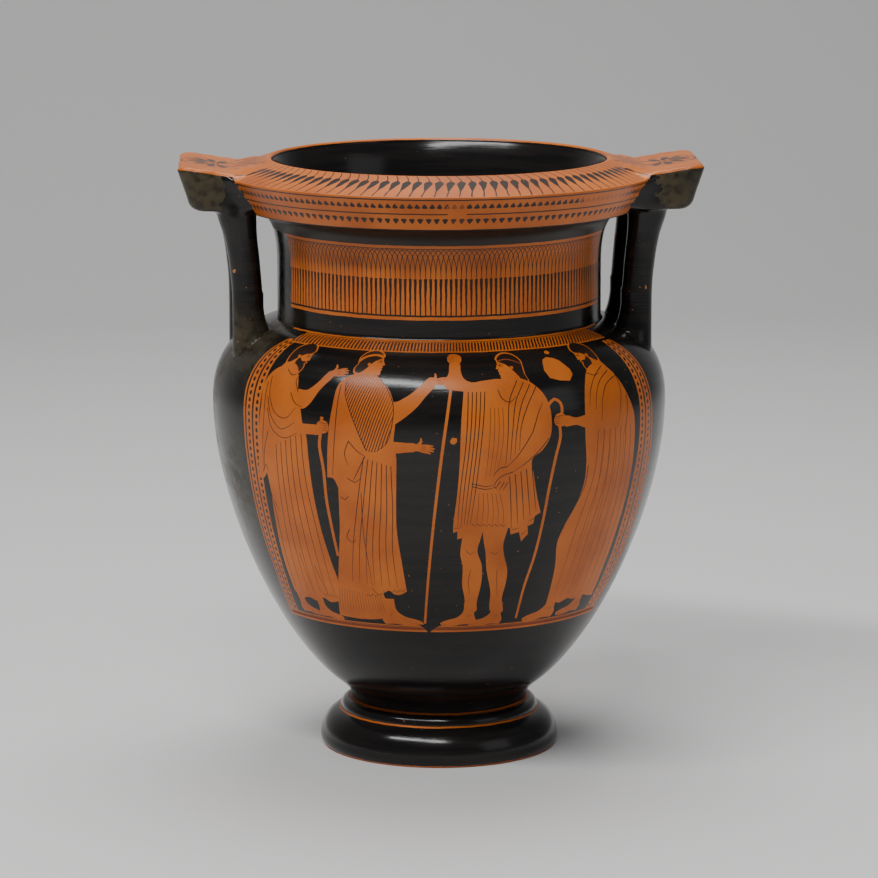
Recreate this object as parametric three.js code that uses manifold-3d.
// Column krater: a wide-mouthed mixing bowl of fired clay on a moulded ring foot.
// The wheel-thrown bowl, neck and rim, the turned foot and the four handle columns
// under their two plates are luted together and fired as one hollow solid.
// Millimetres, +Z up, origin under the middle of the foot, front -Y, handles on +X and -X.
import * as THREE from 'three';
import { mergeVertices } from 'three/addons/utils/BufferGeometryUtils.js';
import Module from 'manifold-3d';

// Overall size
const HEIGHT = 420;
const TURN_SEGMENTS = 60;

// Foot: a thick rounded step with a small ring above it, hollow underneath
const FOOT_RADIUS = 84.5;
const FOOT_BULGE_Z = 6;
const FOOT_STEP_RADIUS = 71.6;
const FOOT_STEP_Z = 25.7;
const RING_RADIUS = 70;
const RING_TOP_Z = 33.6;
const STEM_RADIUS = 62.2;
const REST_INNER_RADIUS = 73;
const REST_OUTER_RADIUS = 82.2;
const RECESS_RADIUS = 58;
const RECESS_Z = 31;

// Bowl: an ovoid that is widest high up, then a short rounded shoulder
const BELLY_RADIUS = 159.7;
const BELLY_Z = 251;
const BOWL_START_RADIUS = 70.6;
const BOWL_START_Z = 47;
const NECK_FOOT_RADIUS = 115.1;
const NECK_FOOT_Z = 306.9;
const WALL = 7.5;
const FLOOR_Z = 44;

// Neck: a plain cylinder that spreads under the rim
const NECK_RADIUS = 113.8;
const NECK_SPREAD_Z = 345;

// Rim: a flat-sided ring that leans outwards, with a sloping top up to the lip
const RIM_BOTTOM_RADIUS = 137.6;
const RIM_BOTTOM_Z = 385.3;
const RIM_RADIUS = 152.2;
const RIM_EDGE_Z = 409;
const LIP_RADIUS = 119.5;
const LIP_INNER_RADIUS = 117.1;
const LIP_INNER_DROP = 2.6;

// Handle columns: two at each side, leaning outwards to the plate over them
const COLUMN_RADIUS = 10.6;
const COLUMN_ROOT_FLARE = 5.5;
const COLUMN_ROOT_Z = 298;
const COLUMN_ROOT_SHIFT = 0.75;
const COLUMN_HEAD_FLARE = 3;
const COLUMN_HEAD_Z = 384;
const COLUMN_DISTANCE = 136.2;
const COLUMN_LEAN = 10.6;
const COLUMN_LEAN_START_Z = 325;
const COLUMN_SPREAD = 31;
const COLUMN_BOTTOM_Z = 280;
const COLUMN_TOP_Z = 403;
const COLUMN_CAP = 4;
const COLUMN_SIDES = 12;
const COLUMN_ROWS = 11;

// Handle plates: thick slabs level with the rim
const PLATE_END = 182.5;
const PLATE_HALF_WIDTH = 50;
const PLATE_CORNER = 7;
const PLATE_BOTTOM_Z = 387.5;
const PLATE_END_Z = 418.5;
const PLATE_VALLEY_DISTANCE = 143;
const PLATE_VALLEY_Z = 414.2;
const PLATE_UNDERCUT = 12;
const PLATE_INNER_DISTANCE = 126;
const PLATE_INNER_Z = 417.8;
const PLATE_TURN = THREE.MathUtils.degToRad(-2.7);

// The fired slip colour of the whole pot
const GLOSS_BLACK = { color: 0x17120f, roughness: 0.32, metalness: 0.0 };

const wasm = await Module();
wasm.setup();

/** A point of an outline: its radius (or distance) and its height. */
function at(radius, z) {
  return new THREE.Vector2(radius, z);
}

/** Points of a cubic curve from a to b with the controls c and d, without the first. */
function curve(a, c, d, b, steps) {
  return new THREE.CubicBezierCurve(a, c, d, b).getPoints(steps).slice(1);
}

/** The foot's outside, from its resting edge up to the stem under the bowl. */
function footOutline() {
  const edge = at(REST_OUTER_RADIUS, 0);
  const bulge = at(FOOT_RADIUS, FOOT_BULGE_Z);
  const step = at(FOOT_STEP_RADIUS, FOOT_STEP_Z);
  const ring = at(RING_RADIUS, FOOT_STEP_Z + 1.3);
  const stem = at(STEM_RADIUS, RING_TOP_Z);
  return [
    edge,
    ...curve(edge, at(FOOT_RADIUS - 0.6, 1.5), at(FOOT_RADIUS, 3.5), bulge, 2),
    ...curve(bulge, at(FOOT_RADIUS, 15), at(79.5, 23.5), step, 5),
    ring,
    ...curve(ring, at(69.8, 31), at(67, 33.8), stem, 3),
  ];
}

/** The bowl's outside, from the stem over the belly and shoulder to the neck. */
function bowlOutline() {
  const stem = at(STEM_RADIUS, RING_TOP_Z);
  const start = at(BOWL_START_RADIUS, BOWL_START_Z);
  const belly = at(BELLY_RADIUS, BELLY_Z);
  const neck = at(NECK_FOOT_RADIUS, NECK_FOOT_Z);
  return [
    ...curve(stem, at(62.5, 38), at(65.5, 43.2), start, 3),
    ...curve(start, at(113.5, 78), at(BELLY_RADIUS, 177.5), belly, 10),
    ...curve(belly, at(BELLY_RADIUS, 279), at(145.3, 300.6), neck, 7),
  ];
}

/** The neck's and rim's outside, from the shoulder to the crest of the lip. */
function neckOutline() {
  const spread = at(NECK_RADIUS, NECK_SPREAD_Z);
  const under = at(RIM_BOTTOM_RADIUS - 5, RIM_BOTTOM_Z - 1);
  return [
    at(NECK_RADIUS, NECK_FOOT_Z + 2.5),
    spread,
    ...curve(spread, at(NECK_RADIUS, 372), at(119, 383), under, 5),
    at(RIM_BOTTOM_RADIUS, RIM_BOTTOM_Z),
    at(RIM_RADIUS - 0.6, RIM_EDGE_Z - 1),
    at(RIM_RADIUS, RIM_EDGE_Z),
    at(RIM_RADIUS - 1, RIM_EDGE_Z + 0.6),
    at(LIP_RADIUS + 1.2, HEIGHT - 0.3),
    at(LIP_RADIUS, HEIGHT),
  ];
}

/** The inside: lip, neck and bowl at the wall's thickness, down to the floor. */
function cavityOutline() {
  const throat = at(NECK_RADIUS - WALL, NECK_SPREAD_Z);
  const neckFoot = at(NECK_FOOT_RADIUS - WALL - 1, NECK_FOOT_Z - 2);
  const belly = at(BELLY_RADIUS - WALL, BELLY_Z);
  const floorEdge = at(BOWL_START_RADIUS - 4, BOWL_START_Z + 8);
  const lipInner = at(LIP_INNER_RADIUS, HEIGHT - LIP_INNER_DROP);
  const down = [
    at(0, HEIGHT + 5),
    at(LIP_RADIUS, HEIGHT + 5),
    at(LIP_RADIUS, HEIGHT),
    lipInner,
    ...curve(lipInner, at(112, 408), at(throat.x, 390), throat, 4),
    neckFoot,
    ...curve(neckFoot, at(138, 294), at(belly.x, 274), belly, 4),
    ...curve(belly, at(belly.x, 180), at(108.5, 86), floorEdge, 7),
    at(40, FLOOR_Z + 1.5),
    at(0, FLOOR_Z),
  ];
  return down.reverse();
}

/** The hollow under the foot, inside its resting ring. */
function recessOutline() {
  return [
    at(0, -5),
    at(REST_INNER_RADIUS, -5),
    at(REST_INNER_RADIUS, 0),
    at(REST_INNER_RADIUS - 3, 5),
    at(RECESS_RADIUS + 5, 24),
    at(RECESS_RADIUS, RECESS_Z - 2),
    at(RECESS_RADIUS - 8, RECESS_Z),
    at(0, RECESS_Z),
  ];
}

/** A closed three.js geometry as a solid that can be joined and cut. */
function toSolid(geometry) {
  const bare = geometry.clone();
  bare.deleteAttribute('normal');
  bare.deleteAttribute('uv');
  const merged = mergeVertices(bare, 1e-4);
  return new wasm.Manifold(new wasm.Mesh({
    numProp: 3,
    vertProperties: new Float32Array(merged.attributes.position.array),
    triVerts: new Uint32Array(merged.index.array),
  }));
}

/** A solid turned about +Z from an outline that starts and ends on the axis. */
function turned(outline, segments = TURN_SEGMENTS) {
  const geometry = new THREE.LatheGeometry(outline, segments);
  geometry.rotateX(Math.PI / 2);
  return geometry;
}

/** How much wider a column is at a height where it is luted to the shoulder. */
function rootFlare(z) {
  return COLUMN_ROOT_FLARE * Math.exp(-Math.max(0, z - COLUMN_ROOT_Z) / 7);
}

/** How far a column's middle stands from the pot's axis; its root spreads inwards. */
function columnDistance(z) {
  const reach = Math.max(0, z - COLUMN_LEAN_START_Z) / (COLUMN_TOP_Z - COLUMN_LEAN_START_Z);
  return COLUMN_DISTANCE + COLUMN_LEAN * reach ** 1.6 - COLUMN_ROOT_SHIFT * rootFlare(z);
}

/** A column's radius at a height: it spreads on the shoulder and under the plate. */
function columnRadius(z) {
  const head = Math.exp(-(((z - COLUMN_HEAD_Z) / 10) ** 2));
  return COLUMN_RADIUS + rootFlare(z) + COLUMN_HEAD_FLARE * head;
}

/** One handle column; side is +1 or -1 along X, hand is +1 or -1 along Y. */
function column(side, hand) {
  const outline = [at(0, COLUMN_BOTTOM_Z)];
  for (let row = 0; row <= COLUMN_ROWS; row += 1) {
    const z = THREE.MathUtils.lerp(COLUMN_BOTTOM_Z, COLUMN_TOP_Z, row / COLUMN_ROWS);
    outline.push(at(columnRadius(z), z));
  }
  outline.push(at(COLUMN_RADIUS - COLUMN_CAP, COLUMN_TOP_Z + COLUMN_CAP), at(0, COLUMN_TOP_Z + COLUMN_CAP));
  const geometry = turned(outline, COLUMN_SIDES);
  const position = geometry.attributes.position;
  for (let i = 0; i < position.count; i += 1) {
    const lean = columnDistance(position.getZ(i));
    position.setX(i, position.getX(i) + side * lean);
    position.setY(i, position.getY(i) + hand * COLUMN_SPREAD);
  }
  return toSolid(geometry);
}

/** A handle plate's section along the handle: undercut end and slightly hollow top. */
function plateSection() {
  const section = new THREE.Shape();
  section.moveTo(PLATE_INNER_DISTANCE, PLATE_BOTTOM_Z);
  section.lineTo(PLATE_END - PLATE_UNDERCUT - 5, PLATE_BOTTOM_Z);
  section.quadraticCurveTo(PLATE_END - 8, PLATE_BOTTOM_Z, PLATE_END - 6.5, PLATE_BOTTOM_Z + 10);
  section.lineTo(PLATE_END, PLATE_END_Z - 2);
  section.quadraticCurveTo(PLATE_END, PLATE_END_Z, PLATE_END - 3, PLATE_END_Z);
  section.bezierCurveTo(
    PLATE_END - 14,
    PLATE_END_Z,
    PLATE_VALLEY_DISTANCE + 12,
    PLATE_VALLEY_Z,
    PLATE_VALLEY_DISTANCE,
    PLATE_VALLEY_Z,
  );
  section.lineTo(PLATE_INNER_DISTANCE, PLATE_INNER_Z);
  section.closePath();
  return section;
}

/** A handle plate seen from above: square, with its outer corners rounded. */
function platePlan() {
  const half = PLATE_HALF_WIDTH;
  const end = PLATE_END + 1;
  const plan = new THREE.Shape();
  plan.moveTo(PLATE_INNER_DISTANCE - 1, -half);
  plan.lineTo(end - PLATE_CORNER, -half);
  plan.quadraticCurveTo(end, -half, end, -half + PLATE_CORNER);
  plan.lineTo(end, half - PLATE_CORNER);
  plan.quadraticCurveTo(end, half, end - PLATE_CORNER, half);
  plan.lineTo(PLATE_INNER_DISTANCE - 1, half);
  plan.closePath();
  return plan;
}

/** One handle plate; side is +1 or -1 along X. Both were luted on slightly askew. */
function plate(side) {
  const width = 2 * PLATE_HALF_WIDTH + 4;
  const slab = new THREE.ExtrudeGeometry(plateSection(), { depth: width, bevelEnabled: false, curveSegments: 5 });
  slab.translate(0, 0, -width / 2);
  slab.rotateX(Math.PI / 2);
  const prism = new THREE.ExtrudeGeometry(platePlan(), { depth: 60, bevelEnabled: false, curveSegments: 4 });
  prism.translate(0, 0, PLATE_BOTTOM_Z - 10);
  const turn = side < 0 ? PLATE_TURN + Math.PI : PLATE_TURN;
  slab.rotateZ(turn);
  prism.rotateZ(turn);
  return toSolid(slab).intersect(toSolid(prism));
}

/** The whole pot: turned outside, columns and plates joined on, then hollowed. */
function krater() {
  const outline = [at(0, 0), ...footOutline(), ...bowlOutline(), ...neckOutline(), at(0, HEIGHT)];
  let solid = toSolid(turned(outline));
  for (const side of [1, -1]) {
    solid = solid.add(plate(side));
    for (const hand of [1, -1]) {
      solid = solid.add(column(side, hand));
    }
  }
  solid = solid.subtract(toSolid(turned(cavityOutline())));
  return solid.subtract(toSolid(turned(recessOutline())));
}

/** A finished solid as a three.js mesh with its own name and material. */
function toMesh(name, solid, finish) {
  const result = solid.getMesh();
  const geometry = new THREE.BufferGeometry();
  geometry.setAttribute('position', new THREE.BufferAttribute(result.vertProperties, 3));
  geometry.setIndex(new THREE.BufferAttribute(result.triVerts, 1));
  geometry.computeVertexNormals();
  const mesh = new THREE.Mesh(geometry, new THREE.MeshStandardMaterial(finish));
  mesh.name = name;
  return mesh;
}

const group = new THREE.Group();
group.add(toMesh('krater', krater(), GLOSS_BLACK));

export default group;
